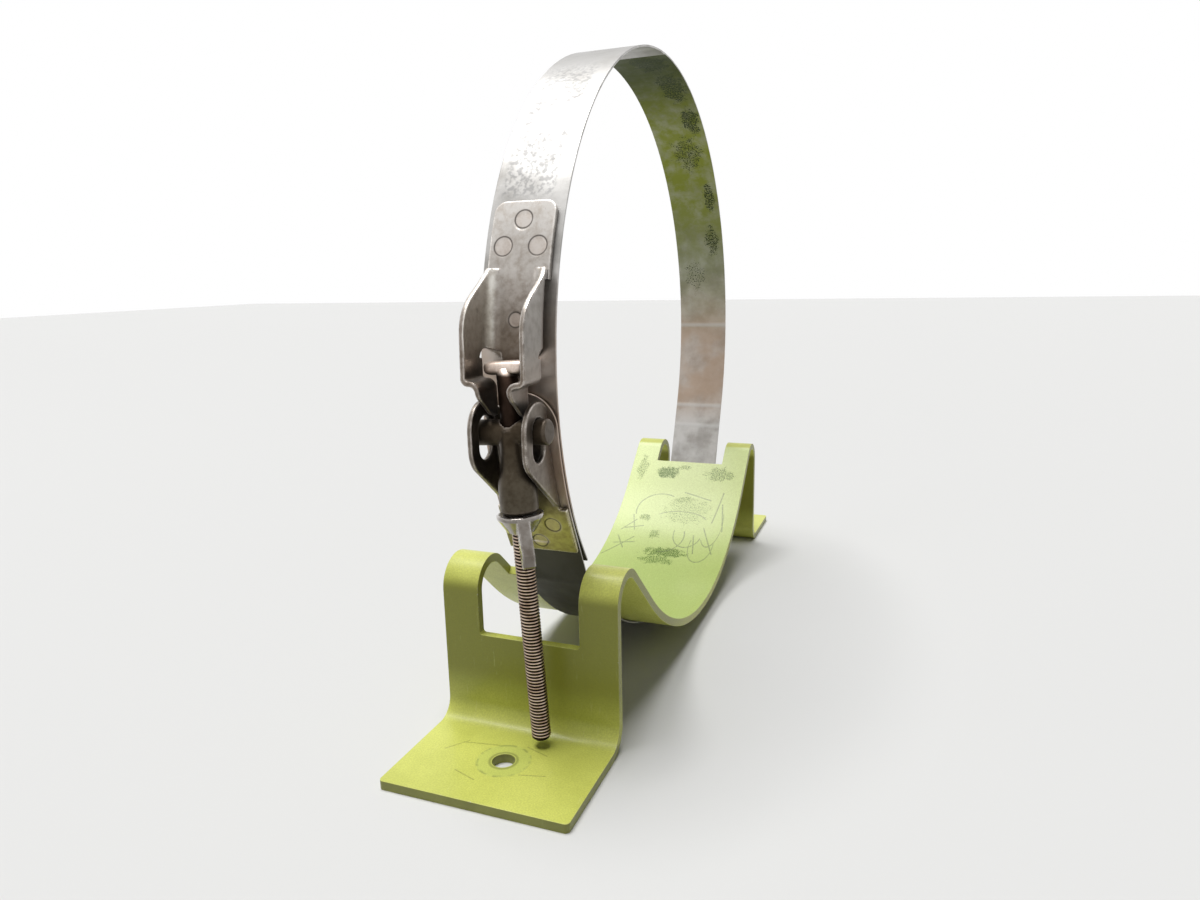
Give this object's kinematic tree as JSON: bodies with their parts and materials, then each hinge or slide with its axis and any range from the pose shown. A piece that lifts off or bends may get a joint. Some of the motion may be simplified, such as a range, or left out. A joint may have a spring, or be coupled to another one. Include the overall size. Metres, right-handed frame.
{
  "type": "gas cylinder bracket",
  "caption": "Formed saddle bracket with a steel band clamp and T-bolt latch that holds one gas cylinder against a wall or bench.",
  "frame": {"origin": "on the mounting surface, midway between the two foot holes", "axes": "+Z away from the mounting surface; Y along the saddle, with the latch at -Y; X along the held cylinder"},
  "size_m": [0.0474, 0.235, 0.1789],
  "materials": {
    "saddle_paint": "satin yellow-green primer, rubbed and scratched",
    "strap_steel": "satin stainless strip with creases and stains",
    "latch_steel": "satin stainless with heat tint at the spot welds",
    "trunnion_steel": "dark satin oxide",
    "bolt_steel": "dull brown plated thread",
    "nut_steel": "bright satin"
  },
  "bodies": {
    "root": {"saddle_bracket": "saddle_paint", "strap_band": "strap_steel", "latch_plate": "latch_steel", "ear_bracket": "latch_steel"},
    "trunnion": {"trunnion": "trunnion_steel"},
    "t_bolt": {"t_bolt": "bolt_steel"},
    "wing_nut": {"wing_nut": "nut_steel"}
  },
  "joints": [
    {"name": "trunnion_swing", "type": "hinge", "parent": "root", "child": "trunnion", "pos_m": [0.0015, -0.09202, 0.08002], "axis": [0.9983, 0, 0.0576], "range_deg": [-4, 1.5]},
    {"name": "bolt_feed", "type": "slide", "parent": "trunnion", "child": "t_bolt", "axis": [-0.0576, 0, 0.9983], "range_m": [0, 0.02857]},
    {"name": "nut_spin", "type": "hinge", "parent": "trunnion", "child": "wing_nut", "pos_m": [0.0015, -0.09202, 0.08002], "axis": [0.0576, 0, -0.9983], "range_deg": [0, 12970]}
  ],
  "couplings": [
    {"joint": "nut_spin", "follows": "bolt_feed", "rad_per_m": 7915.8}
  ]
}
